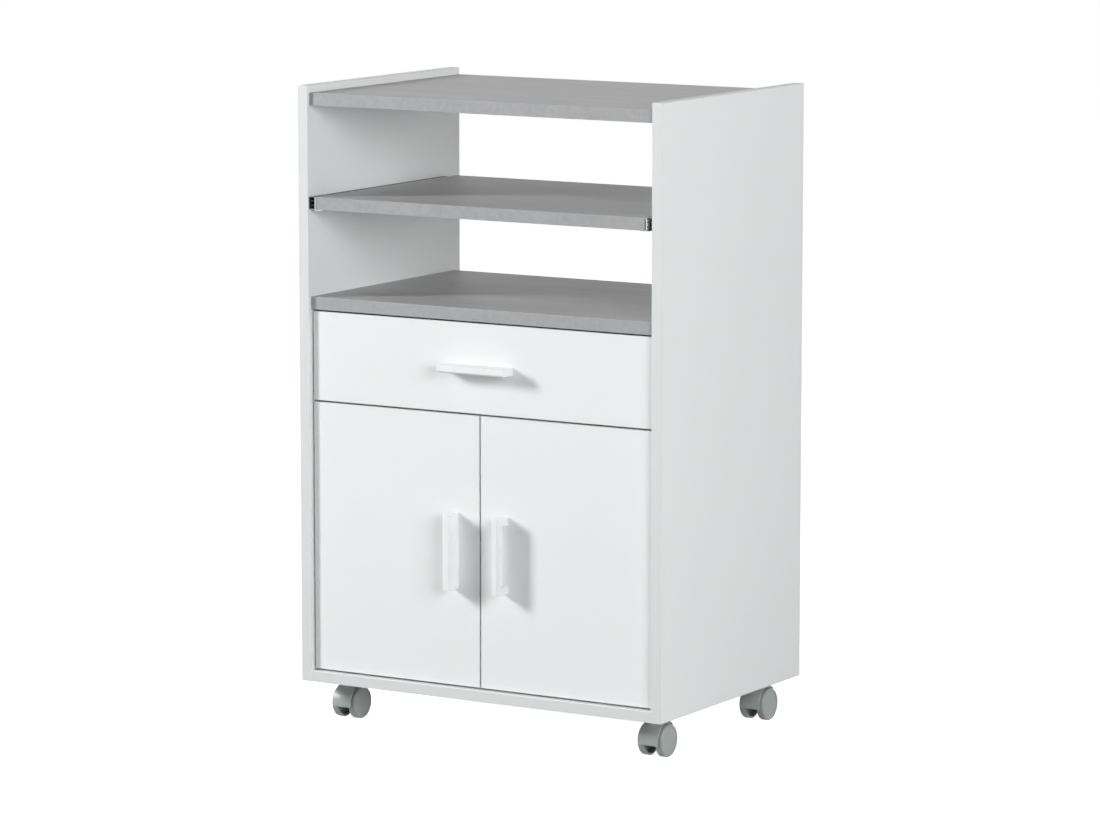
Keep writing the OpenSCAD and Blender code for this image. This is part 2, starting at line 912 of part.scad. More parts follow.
module caster_screws(grow = 0) {
    at_casters() for (x = [-plate_hole, plate_hole], y = [-plate_hole, plate_hole])
        translate([x, y, caster_h - plate_t]) dome_screw(grow);
}

// Plates under the base, each with its collar and the stem that the housing turns on
module caster_plates() {
    color(zinc) at_casters() {
        difference() {
            translate([-plate_w / 2, -plate_w / 2, caster_h - plate_t]) cube([plate_w, plate_w, plate_t]);
            for (x = [-plate_hole, plate_hole], y = [-plate_hole, plate_hole])
                translate([x, y, caster_h - plate_t - 1]) cylinder(r = screw_r + fit, h = plate_t + 2);
        }
        translate([0, 0, collar_z]) cylinder(r = boss_r, h = caster_h - plate_t - collar_z + 0.01);
        translate([0, 0, stem_bot]) cylinder(r = stem_r, h = collar_z - stem_bot + 0.1);
    }
}

// A sector of the hood's side view: the angle is measured upwards from straight ahead
module sector(r, from, to) {
    polygon(concat([[0, 0]], [for (i = [0:12]) let (a = from + (to - from) * i / 12)
        [-1.2 * r * cos(a), 1.2 * r * sin(a)]]));
}

// Draws a side view (X backwards, Y up) and runs it across the caster
module across(half) {
    translate([-half, 0, 0]) rotate([90, 0, 90]) linear_extrude(2 * half) children();
}

module caster_housing() {
    translate([0, caster_trail, wheel_r]) difference() {
        union() {
            across(hood_half) intersection() {
                difference() {
                    circle(r = hood_out);
                    circle(r = hood_in);
                }
                sector(hood_out, hood_from, hood_to);
            }
            across(web_half) intersection() {
                circle(r = hood_in + 1);
                sector(hood_out, hood_from, hood_to);
            }
            across(web_half) circle(r = hub_r);
            translate([0, -caster_trail, boss_bot - wheel_r]) cylinder(r = boss_r, h = boss_top - boss_bot);
        }
        translate([-web_half - 1, 0, 0]) rod_x(axle_r + fit, 2 * web_half + 2);
        translate([0, -caster_trail, socket_bot - wheel_r]) cylinder(r = stem_r + turn_fit, h = boss_top);
    }
}

module caster_axle() {
    half = caster_w / 2 - disc_t - 2 * axle_play;
    translate([-half, caster_trail, wheel_r]) rod_x(axle_r, 2 * half);
}

// A dished wheel on the +X side: a disc outside, a tread and a blind hub
module caster_wheel() {
    outer = caster_w / 2;
    translate([0, caster_trail, wheel_r]) rotate([0, 90, 0]) rotate_extrude() difference() {
        union() {
            translate([0, outer - disc_t]) square([wheel_r - wheel_round, disc_t]);
            translate([wheel_r - rim_t, outer - tread_in]) square([rim_t, tread_in - wheel_round]);
            translate([wheel_r - wheel_round, outer - wheel_round]) intersection() {
                circle(r = wheel_round);
                square(wheel_round);
            }
            translate([0, web_half + 0.5]) square([hub_r, outer - disc_t - web_half]);
        }
        square([axle_r + turn_fit, outer - disc_t - axle_play]);
    }
}

module caster_at(x, y) {
    translate([x, y, 0]) children();
}

module caster_front_left_housing() {
    color(caster_grey) caster_at(-caster_x, caster_front) caster_housing();
}

module caster_front_right_housing() {
    color(caster_grey) caster_at(caster_x, caster_front) caster_housing();
}

module caster_back_left_housing() {
    color(caster_grey) caster_at(-caster_x, caster_back) caster_housing();
}

module caster_back_right_housing() {
    color(caster_grey) caster_at(caster_x, caster_back) caster_housing();
}

module caster_front_left_axle() {
    color(zinc) caster_at(-caster_x, caster_front) caster_axle();
}

module caster_front_right_axle() {
    color(zinc) caster_at(caster_x, caster_front) caster_axle();
}

module caster_back_left_axle() {
    color(zinc) caster_at(-caster_x, caster_back) caster_axle();
}

module caster_back_right_axle() {
    color(zinc) caster_at(caster_x, caster_back) caster_axle();
}

module caster_front_left_wheel_right() {
    color(caster_grey) caster_at(-caster_x, caster_front) caster_wheel();
}

module caster_front_left_wheel_left() {
    color(caster_grey) caster_at(-caster_x, caster_front) mirror([1, 0, 0]) caster_wheel();
}

module caster_front_right_wheel_right() {
    color(caster_grey) caster_at(caster_x, caster_front) caster_wheel();
}

module caster_front_right_wheel_left() {
    color(caster_grey) caster_at(caster_x, caster_front) mirror([1, 0, 0]) caster_wheel();
}

module caster_back_left_wheel_right() {
    color(caster_grey) caster_at(-caster_x, caster_back) caster_wheel();
}

module caster_back_left_wheel_left() {
    color(caster_grey) caster_at(-caster_x, caster_back) mirror([1, 0, 0]) caster_wheel();
}

module caster_back_right_wheel_right() {
    color(caster_grey) caster_at(caster_x, caster_back) caster_wheel();
}

module caster_back_right_wheel_left() {
    color(caster_grey) caster_at(caster_x, caster_back) mirror([1, 0, 0]) caster_wheel();
}

left_side_panel();
right_side_panel();
top_shelf();
counter_shelf();
base_panel();
back_panel();
middle_rail();
inner_shelf();
shelf_pins();
joint_fittings();
small_fixings();
caster_plates();
shelf_slide_outer_left();
shelf_slide_outer_right();
cabinet_runner_left();
cabinet_runner_right();
left_hinge_arms();
right_hinge_arms();
sliding_shelf();
shelf_slide_inner_left();
shelf_slide_inner_right();
shelf_ball_cage_left();
shelf_ball_cage_right();
drawer_front();
drawer_side_left();
drawer_side_right();
drawer_back();
drawer_bottom();
drawer_handle();
drawer_fittings();
drawer_runner_left();
drawer_runner_right();
drawer_roller_left();
drawer_roller_right();
cabinet_roller_left();
cabinet_roller_right();
left_door();
left_door_handle();
left_hinge_cups();
left_door_screws();
right_door();
right_door_handle();
right_hinge_cups();
right_door_screws();
caster_front_left_housing();
caster_front_left_axle();
caster_front_left_wheel_left();
caster_front_left_wheel_right();
caster_front_right_housing();
caster_front_right_axle();
caster_front_right_wheel_left();
caster_front_right_wheel_right();
caster_back_left_housing();
caster_back_left_axle();
caster_back_left_wheel_left();
caster_back_left_wheel_right();
caster_back_right_housing();
caster_back_right_axle();
caster_back_right_wheel_left();
caster_back_right_wheel_right();
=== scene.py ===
# Looks of the microwave cart: two white side panels, three grey shelves, a drawer and a cupboard, on casters.
# Everything is in metres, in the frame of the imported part: X to the right, Y to the back, Z up from the floor.
from math import cos, pi, radians, sin

import bmesh
import bpy
from mathutils import Matrix, Vector


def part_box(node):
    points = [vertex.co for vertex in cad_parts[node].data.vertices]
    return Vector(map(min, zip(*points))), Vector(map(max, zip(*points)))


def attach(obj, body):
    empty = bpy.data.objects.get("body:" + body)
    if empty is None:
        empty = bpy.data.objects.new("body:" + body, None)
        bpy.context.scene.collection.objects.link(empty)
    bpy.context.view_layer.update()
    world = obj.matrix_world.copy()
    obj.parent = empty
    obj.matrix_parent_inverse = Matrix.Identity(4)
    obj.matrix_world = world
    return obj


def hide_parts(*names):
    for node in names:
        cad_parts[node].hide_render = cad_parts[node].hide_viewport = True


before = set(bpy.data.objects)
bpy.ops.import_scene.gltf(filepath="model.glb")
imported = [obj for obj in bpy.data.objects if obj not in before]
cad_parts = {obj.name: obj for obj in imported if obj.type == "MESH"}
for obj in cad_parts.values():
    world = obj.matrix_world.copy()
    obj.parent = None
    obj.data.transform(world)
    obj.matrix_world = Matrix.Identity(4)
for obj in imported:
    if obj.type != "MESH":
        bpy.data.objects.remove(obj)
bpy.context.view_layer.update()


# Camera ------------------------------------------------------------------------------------------------
# A long lens from the right of the front, a little above the cart, as a catalogue picture is taken.
# Place, turn and lens come from a camera fitted to the cart's straight edges.

eye = bpy.data.objects.new("eye", bpy.data.cameras.new("eye"))
eye.data.sensor_width = 36
eye.data.lens = 161.9
eye.data.clip_end = 300
eye.location = (3.5927, -5.9393, 1.4583)
eye.rotation_euler = (radians(90 - 8.302), 0, radians(31.146))
bpy.context.scene.collection.objects.link(eye)
bpy.context.scene.camera = eye
bpy.context.scene.view_settings.view_transform = "Standard"


# Studio ------------------------------------------------------------------------------------------------
# A white floor that runs back past the picture, a white surround that glows at the horizon behind the cart,
# a tall soft lamp high on the left of the front, one that fills in from the right, and a weak one at the back.

def shader_nodes(tree, places):
    """Adds one shader node per entry: name, type, and the values of its plain inputs."""
    made = {}
    for name, kind, values in places:
        node = tree.nodes.new(kind)
        node.name = name
        for key, value in values.items():
            if isinstance(key, int) or key in node.inputs:
                node.inputs[key].default_value = value
            else:
                setattr(node, key, value)
        made[name] = node
    return made


def paper_material():
    """White paper: it takes the shadow, and glows a little towards the camera so that it stays white."""
    paper = bpy.data.materials.new("studio_paper")
    paper.use_nodes = True
    tree = paper.node_tree
    tree.nodes.clear()
    n = shader_nodes(tree, [
        ("out", "ShaderNodeOutputMaterial", {}),
        ("sum", "ShaderNodeAddShader", {}),
        ("matt", "ShaderNodeBsdfDiffuse", {}),
        ("tone", "ShaderNodeMix", {"data_type": "RGBA", 6: (*paper_bounce, 1), 7: (*paper_seen, 1)}),
        ("glow", "ShaderNodeEmission", {"Color": (1, 1, 1, 1)}),
        ("rays", "ShaderNodeLightPath", {}),
        ("seen", "ShaderNodeMath", {"operation": "MAXIMUM"}),
        ("shown", "ShaderNodeMath", {"operation": "MAXIMUM"}),
        ("level", "ShaderNodeMath", {"operation": "MULTIPLY", 1: paper_glow}),
    ])
    tree.links.new(n["rays"].outputs["Is Camera Ray"], n["tone"].inputs[0])
    tree.links.new(n["tone"].outputs[2], n["matt"].inputs["Color"])
    tree.links.new(n["rays"].outputs["Is Camera Ray"], n["seen"].inputs[0])
    tree.links.new(n["rays"].outputs["Is Glossy Ray"], n["seen"].inputs[1])
    tree.links.new(n["seen"].outputs[0], n["shown"].inputs[0])
    tree.links.new(n["rays"].outputs["Is Transmission Ray"], n["shown"].inputs[1])
    tree.links.new(n["shown"].outputs[0], n["level"].inputs[0])
    tree.links.new(n["level"].outputs[0], n["glow"].inputs["Strength"])
    tree.links.new(n["matt"].outputs[0], n["sum"].inputs[0])
    tree.links.new(n["glow"].outputs[0], n["sum"].inputs[1])
    tree.links.new(n["sum"].outputs[0], n["out"].inputs["Surface"])
    return paper


def white_surround():
    """World light: white where it is seen or mirrored; on the cart it glows from the horizon at the back."""
    world = bpy.data.worlds.new("studio_surround")
    world.use_nodes = True
    tree = world.node_tree
    tree.nodes.clear()
    n = shader_nodes(tree, [
        ("out", "ShaderNodeOutputWorld", {}),
        ("sky", "ShaderNodeBackground", {"Color": (1, 1, 1, 1)}),
        ("rays", "ShaderNodeLightPath", {}),
        ("seen", "ShaderNodeMath", {"operation": "MAXIMUM"}),
        ("shown", "ShaderNodeMath", {"operation": "MAXIMUM"}),
        ("way", "ShaderNodeTexCoord", {}),
        ("split", "ShaderNodeSeparateXYZ", {}),
        ("low", "ShaderNodeMath", {"operation": "SUBTRACT", 0: 1}),
        ("lobe", "ShaderNodeMath", {"operation": "POWER", 1: horizon_narrow}),
        ("round", "ShaderNodeMapRange", {"From Min": -1, "From Max": 1, "To Min": 0, "To Max": back_glow}),
        ("horizon", "ShaderNodeMath", {"operation": "MULTIPLY"}),
        ("pick", "ShaderNodeMix", {"data_type": "FLOAT"}),
    ])
    tree.links.new(n["way"].outputs["Generated"], n["split"].inputs[0])
    tree.links.new(n["split"].outputs["Z"], n["low"].inputs[1])
    tree.links.new(n["low"].outputs[0], n["lobe"].inputs[0])
    tree.links.new(n["split"].outputs["Y"], n["round"].inputs["Value"])
    tree.links.new(n["lobe"].outputs[0], n["horizon"].inputs[0])
    tree.links.new(n["round"].outputs["Result"], n["horizon"].inputs[1])
    tree.links.new(n["rays"].outputs["Is Camera Ray"], n["seen"].inputs[0])
    tree.links.new(n["rays"].outputs["Is Glossy Ray"], n["seen"].inputs[1])
    tree.links.new(n["seen"].outputs[0], n["shown"].inputs[0])
    tree.links.new(n["rays"].outputs["Is Transmission Ray"], n["shown"].inputs[1])
    tree.links.new(n["shown"].outputs[0], n["pick"].inputs[0])
    tree.links.new(n["horizon"].outputs[0], n["pick"].inputs[2])
    n["pick"].inputs[3].default_value = seen_white
    tree.links.new(n["pick"].outputs[0], n["sky"].inputs["Strength"])
    tree.links.new(n["sky"].outputs[0], n["out"].inputs["Surface"])
    bpy.context.scene.world = world


def softbox(name, place, aim, width, height, watts):
    """A flat diffuser lamp at a place, turned to a point on the cart."""
    lamp = bpy.data.lights.new(name, "AREA")
    lamp.shape = "RECTANGLE"
    lamp.size = width
    lamp.size_y = height
    lamp.energy = watts
    box = bpy.data.objects.new(name, lamp)
    box.location = place
    box.rotation_euler = (Vector(aim) - Vector(place)).to_track_quat("-Z", "Y").to_euler()
    bpy.context.scene.collection.objects.link(box)


back_glow = 2.0
horizon_narrow = 3
seen_white = 1.0
paper_glow = 0.915
paper_bounce = (0.42, 0.42, 0.42)
paper_seen = (0.80, 0.80, 0.80)
floor_half = 60
floor_bm = bmesh.new()
bmesh.ops.create_grid(floor_bm, x_segments=1, y_segments=1, size=floor_half)
floor_mesh = bpy.data.meshes.new("studio_floor")
floor_bm.to_mesh(floor_mesh)
floor_bm.free()
floor_mesh.materials.append(paper_material())
floor = bpy.data.objects.new("studio_floor", floor_mesh)
bpy.context.scene.collection.objects.link(floor)
white_surround()
cart_middle = (0, -0.1, 0.5)
softbox("key_softbox", (-3.5, -2.48, 2.15), cart_middle, 0.77, 1.19, 186)
softbox("fill_softbox", (2.9, -2.05, 1.40), (0.1, -0.1, 0.6), 1.6, 1.5, 76)
softbox("back_softbox", (0.9, 2.8, 1.7), cart_middle, 1.5, 1.5, 17)


# Side panels ---------------------------------------------------------------------------------------------
# Two 16 mm chipboard panels, faced with white melamine on both sides and edged all round with 1 mm white
# plastic band. They are drilled on the inside for dowels, bolts and shelf pins.

def effect_group(name, inputs, outputs):
    """An empty shader group with the named sockets, and its input and output nodes."""
    group = bpy.data.node_groups.new(name, "ShaderNodeTree")
    for socket, kind, value in inputs:
        made = group.interface.new_socket(socket, in_out="INPUT", socket_type=kind)
        made.default_value = value
    for socket, kind in outputs:
        group.interface.new_socket(socket, in_out="OUTPUT", socket_type=kind)
    return group, group.nodes.new("NodeGroupInput"), group.nodes.new("NodeGroupOutput")


def pressed_skin_group():
    """Fine texture of a pressed or moulded skin: slight clouding of the colour, gloss and height."""
    group, given, result = effect_group("pressed_skin", [
        ("Colour", "NodeSocketColor", (0.8, 0.8, 0.8, 1)),
        ("Clouding", "NodeSocketFloat", 0.02),
        ("Cloud Scale", "NodeSocketFloat", 6),
        ("Roughness", "NodeSocketFloat", 0.3),
        ("Gloss Spread", "NodeSocketFloat", 0.05),
        ("Grain Scale", "NodeSocketFloat", 700),
    ], [("Colour", "NodeSocketColor"), ("Roughness", "NodeSocketFloat"), ("Height", "NodeSocketFloat")])
    n = shader_nodes(group, [
        ("place", "ShaderNodeTexCoord", {}),
        ("clouds", "ShaderNodeTexNoise", {"Detail": 3, "Roughness": 0.55}),
        ("grain", "ShaderNodeTexNoise", {"Detail": 2, "Roughness": 0.5}),
        ("centre", "ShaderNodeMath", {"operation": "SUBTRACT", 1: 0.5}),
        ("amount", "ShaderNodeMath", {"operation": "MULTIPLY"}),
        ("level", "ShaderNodeMath", {"operation": "ADD", 0: 1}),
        ("tint", "ShaderNodeVectorMath", {"operation": "SCALE"}),
        ("grain_mid", "ShaderNodeMath", {"operation": "SUBTRACT", 1: 0.5}),
        ("spread", "ShaderNodeMath", {"operation": "MULTIPLY"}),
        ("gloss", "ShaderNodeMath", {"operation": "ADD"}),
    ])
    link = group.links.new
    link(n["place"].outputs["Object"], n["clouds"].inputs["Vector"])
    link(n["place"].outputs["Object"], n["grain"].inputs["Vector"])
    link(given.outputs["Cloud Scale"], n["clouds"].inputs["Scale"])
    link(given.outputs["Grain Scale"], n["grain"].inputs["Scale"])
    link(n["clouds"].outputs["Fac"], n["centre"].inputs[0])
    link(n["centre"].outputs[0], n["amount"].inputs[0])
    link(given.outputs["Clouding"], n["amount"].inputs[1])
    link(n["amount"].outputs[0], n["level"].inputs[1])
    link(given.outputs["Colour"], n["tint"].inputs[0])
    link(n["level"].outputs[0], n["tint"].inputs["Scale"])
    link(n["grain"].outputs["Fac"], n["grain_mid"].inputs[0])
    link(n["grain_mid"].outputs[0], n["spread"].inputs[0])
    link(given.outputs["Gloss Spread"], n["spread"].inputs[1])
    link(given.outputs["Roughness"], n["gloss"].inputs[0])
    link(n["spread"].outputs[0], n["gloss"].inputs[1])
    link(n["tint"].outputs[0], result.inputs["Colour"])
    link(n["gloss"].outputs[0], result.inputs["Roughness"])
    link(n["grain"].outputs["Fac"], result.inputs["Height"])
    return group


pressed_skin = pressed_skin_group()


def skin_material(name, colour, clouding, cloud_scale, roughness, spread, grain_scale, relief, **shader):
    """A material with the pressed skin; relief is the grain's depth, and shader sets other plain sockets."""
    material = bpy.data.materials.new(name)
    material.use_nodes = True
    tree = material.node_tree
    surface = tree.nodes["Principled BSDF"]
    skin = tree.nodes.new("ShaderNodeGroup")
    skin.node_tree = pressed_skin
    for socket, value in (("Colour", (*colour, 1)), ("Clouding", clouding), ("Cloud Scale", cloud_scale),
                          ("Roughness", roughness), ("Gloss Spread", spread), ("Grain Scale", grain_scale)):
        skin.inputs[socket].default_value = value
    bump = tree.nodes.new("ShaderNodeBump")
    bump.inputs["Distance"].default_value = relief
    bump.inputs["Strength"].default_value = 1
    tree.links.new(skin.outputs["Colour"], surface.inputs["Base Color"])
    tree.links.new(skin.outputs["Roughness"], surface.inputs["Roughness"])
    tree.links.new(skin.outputs["Height"], bump.inputs["Height"])
    tree.links.new(bump.outputs["Normal"], surface.inputs["Normal"])
    for socket, value in shader.items():
        surface.inputs[socket.replace("_", " ")].default_value = value
    return material


def chipboard_material():
    """Raw chipboard, seen only in drilled holes and on board ends: pressed chips of pale brown wood."""
    material = bpy.data.materials.new("chipboard_core")
    material.use_nodes = True
    tree = material.node_tree
    surface = tree.nodes["Principled BSDF"]
    surface.inputs["Roughness"].default_value = 0.85
    n = shader_nodes(tree, [
        ("place", "ShaderNodeTexCoord", {}),
        ("chips", "ShaderNodeTexVoronoi", {"Scale": 700, "Randomness": 1}),
        ("tone", "ShaderNodeValToRGB", {}),
        ("relief", "ShaderNodeBump", {"Distance": 0.0002, "Strength": 1}),
    ])
    n["tone"].color_ramp.elements[0].color = (0.36, 0.23, 0.12, 1)
    n["tone"].color_ramp.elements[1].color = (0.62, 0.46, 0.28, 1)
    tree.links.new(n["place"].outputs["Object"], n["chips"].inputs["Vector"])
    tree.links.new(n["chips"].outputs["Color"], n["tone"].inputs["Fac"])
    tree.links.new(n["chips"].outputs["Distance"], n["relief"].inputs["Height"])
    tree.links.new(n["tone"].outputs["Color"], surface.inputs["Base Color"])
    tree.links.new(n["relief"].outputs["Normal"], surface.inputs["Normal"])
    return material


def node_shape(node):
    """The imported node's shape, its loose triangles merged and its flat areas joined into whole faces."""
    bm = bmesh.new()
    bm.from_mesh(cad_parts[node].data)
    bmesh.ops.remove_doubles(bm, verts=bm.verts, dist=weld_gap)
    bmesh.ops.dissolve_limit(bm, angle_limit=radians(0.4), verts=bm.verts, edges=bm.edges)
    return bm


def soften_shading(bm, crease=radians(28)):
    """Shades curved areas smoothly and keeps every edge sharper than the crease angle crisp."""
    for face in bm.faces:
        face.smooth = True
    for edge in bm.edges:
        edge.smooth = edge.is_manifold and edge.calc_face_angle(0) < crease


def ease_edges(bm, edges, radius, segments=3):
    """Rounds edges over, and keeps the flat faces beside them flat-shaded."""
    rounded = bmesh.ops.bevel(bm, geom=edges, offset=radius, offset_type="OFFSET", segments=segments,
                              profile=0.5, affect="EDGES", clamp_overlap=True, material=-1)["faces"]
    soften_shading(bm)
    fillet = set(rounded)
    for edge in {edge for face in fillet for edge in face.edges}:
        if any(face not in fillet for face in edge.link_faces):
            edge.smooth = False
    return fillet


def add_piece(name, bm, materials, body, slot, *nodes):
    """Makes an object of a finished mesh, with the body it rides on and the nodes it stands for."""
    mesh = bpy.data.meshes.new(name)
    bm.to_mesh(mesh)
    bm.free()
    for material in materials:
        mesh.materials.append(material)
    piece = bpy.data.objects.new(name, mesh)
    bpy.context.scene.collection.objects.link(piece)
    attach(piece, body)
    if nodes:
        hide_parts(*nodes)
    return piece


def faced_board(node, body, slot, skin, band, banded, arris=0.0009, band_t=0.001):
    """A chipboard panel with faced sides; banded names its edged sides, such as -y for the front edge."""
    low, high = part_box(node)
    size = high - low
    thin = min(range(3), key=lambda axis: size[axis])
    sides = [("xyz".index(side[1]), high if side[0] == "+" else low, 1 if side[0] == "+" else -1)
             for side in banded]
    bm = node_shape(node)
    for axis, limit, way in sides:
        cut = Vector((0, 0, 0))
        cut[axis] = 1
        bmesh.ops.bisect_plane(bm, geom=[*bm.verts, *bm.edges, *bm.faces], dist=1e-6,
                               plane_co=cut * (limit[axis] - way * band_t), plane_no=cut)

    def on_side(vert, axis, limit):
        return abs(vert.co[axis] - limit[axis]) < on_plane

    def is_arris(edge):
        for axis, limit, _ in sides:
            if all(on_side(vert, axis, limit) for vert in edge.verts):
                if any(all(on_side(vert, thin, end) for vert in edge.verts) for end in (low, high)):
                    return True
                if any(other != axis and all(on_side(vert, other, end) for vert in edge.verts)
                       for other, end, _ in sides):
                    return True
        return False

    painted_highlight_arrises = ease_edges(bm, [edge for edge in bm.edges if is_arris(edge)], arris)
    for face in bm.faces:
        middle = face.calc_center_median()
        # The rounded arrises take the lighter face colour, not the band's: a painted highlight line along each
        # banded edge.
        if face in painted_highlight_arrises:
            face.material_index = 0
        elif any(abs(middle[axis] - limit[axis]) < band_t for axis, limit, _ in sides):
            face.material_index = 1
        elif abs(face.normal[thin]) > 0.99 and min(abs(middle[thin] - low[thin]),
                                                   abs(middle[thin] - high[thin])) < on_plane:
            face.material_index = 0
        else:
            face.material_index = 2
    return add_piece(node + "_board", bm, [skin, band, chipboard], body, slot, node)


weld_gap = 3e-6
on_plane = 1e-5
chipboard = chipboard_material()
white_melamine = skin_material("white_melamine", (0.835, 0.845, 0.850), 0.02, 5, 0.30, 0.06, 1400, 0.000012)
white_band = skin_material("white_edge_band", (0.700, 0.722, 0.718), 0.03, 30, 0.42, 0.08, 900, 0.00002)
for side in ("left", "right"):
    faced_board(side + "_side_panel", "cabinet", "white_board", white_melamine, white_band,
                ("-y", "+y", "-z", "+z"))


# Grey shelves --------------------------------------------------------------------------------------------
# The fixed top shelf, the pull-out shelf and the worktop: 18 mm chipboard faced with a cement-grey decor,
# with soft streaks along its length and a finer, lighter mottle on the edge band.

def cement_group():
    """Printed cement: streaks along X, clouds and fine specks, between a dark and a light tone."""
    group, given, result = effect_group("cement_print", [
        ("Dark", "NodeSocketColor", (0.25, 0.25, 0.25, 1)),
        ("Light", "NodeSocketColor", (0.35, 0.35, 0.35, 1)),
        ("Streaks", "NodeSocketFloat", 0.5),
        ("Stretch", "NodeSocketVector", (3, 16, 16)),
        ("Mottle Scale", "NodeSocketFloat", 60),
    ], [("Colour", "NodeSocketColor"), ("Roughness", "NodeSocketFloat"), ("Height", "NodeSocketFloat")])
    n = shader_nodes(group, [
        ("place", "ShaderNodeTexCoord", {}),
        ("stretch", "ShaderNodeVectorMath", {"operation": "MULTIPLY"}),
        ("streak", "ShaderNodeTexNoise", {"Scale": 1, "Detail": 5, "Roughness": 0.6, "Distortion": 0.8}),
        ("mottle", "ShaderNodeTexNoise", {"Detail": 6, "Roughness": 0.7}),
        ("blend", "ShaderNodeMix", {"data_type": "FLOAT"}),
        ("spread", "ShaderNodeMapRange", {"From Min": 0.33, "From Max": 0.67}),
        ("tone", "ShaderNodeMix", {"data_type": "RGBA"}),
        ("gloss", "ShaderNodeMapRange", {"To Min": 0.42, "To Max": 0.55}),
    ])
    link = group.links.new
    link(n["place"].outputs["Object"], n["stretch"].inputs[0])
    link(given.outputs["Stretch"], n["stretch"].inputs[1])
    link(n["stretch"].outputs[0], n["streak"].inputs["Vector"])
    link(n["place"].outputs["Object"], n["mottle"].inputs["Vector"])
    link(given.outputs["Mottle Scale"], n["mottle"].inputs["Scale"])
    link(given.outputs["Streaks"], n["blend"].inputs[0])
    link(n["mottle"].outputs["Fac"], n["blend"].inputs[2])
    link(n["streak"].outputs["Fac"], n["blend"].inputs[3])
    link(n["blend"].outputs[0], n["spread"].inputs["Value"])
    link(n["spread"].outputs["Result"], n["tone"].inputs[0])
    link(given.outputs["Dark"], n["tone"].inputs[6])
    link(given.outputs["Light"], n["tone"].inputs[7])
    link(n["mottle"].outputs["Fac"], n["gloss"].inputs["Value"])
    link(n["tone"].outputs[2], result.inputs["Colour"])
    link(n["gloss"].outputs["Result"], result.inputs["Roughness"])
    link(n["mottle"].outputs["Fac"], result.inputs["Height"])
    return group


def cement_material(name, dark, light, streaks, stretch, mottle_scale):
    """A cement-grey finish with its own tones and pattern."""
    material = bpy.data.materials.new(name)
    material.use_nodes = True
    tree = material.node_tree
    surface = tree.nodes["Principled BSDF"]
    printed = tree.nodes.new("ShaderNodeGroup")
    printed.node_tree = cement_print
    for socket, value in (("Dark", (*dark, 1)), ("Light", (*light, 1)), ("Streaks", streaks),
                          ("Stretch", stretch), ("Mottle Scale", mottle_scale)):
        printed.inputs[socket].default_value = value
    bump = tree.nodes.new("ShaderNodeBump")
    bump.inputs["Distance"].default_value = 0.00004
    bump.inputs["Strength"].default_value = 1
    tree.links.new(printed.outputs["Colour"], surface.inputs["Base Color"])
    tree.links.new(printed.outputs["Roughness"], surface.inputs["Roughness"])
    tree.links.new(printed.outputs["Height"], bump.inputs["Height"])
    tree.links.new(bump.outputs["Normal"], surface.inputs["Normal"])
    return material


cement_print = cement_group()
cement_face = cement_material("cement_face", (0.362, 0.362, 0.366), (0.434, 0.434, 0.438), 0.75,
                              (4, 22, 22), 24)
cement_edge = cement_material("cement_edge", (0.305, 0.308, 0.314), (0.390, 0.393, 0.402), 0.35,
                              (9, 9, 9), 130)
faced_board("top_shelf", "cabinet", "grey_laminate", cement_face, cement_edge, ("-y", "+y"), arris=0.0006)
faced_board("counter_shelf", "cabinet", "grey_laminate", cement_face, cement_edge, ("-y",), arris=0.0006)
faced_board("sliding_shelf", "pullout_shelf", "grey_laminate", cement_face, cement_edge,
            ("-y", "+y", "-x", "+x"), arris=0.0006)


# White boards of the cupboard ----------------------------------------------------------------------------
# The base, the rail behind the foot of the drawer front and the loose shelf: 16 mm white chipboard, banded
# along the edges that show.

for node, banded in (("base_panel", ("-y", "+y")), ("middle_rail", ("-y", "+y")),
                     ("inner_shelf", ("-y", "+y", "-x", "+x"))):
    faced_board(node, "cabinet", "white_board", white_melamine, white_band, banded)


# Back --------------------------------------------------------------------------------------------------
# A 3 mm hardboard sheet nailed behind the lower half. Its inside is lacquered white; its outside is bare
# brown hardboard with the faint mesh that the press leaves.

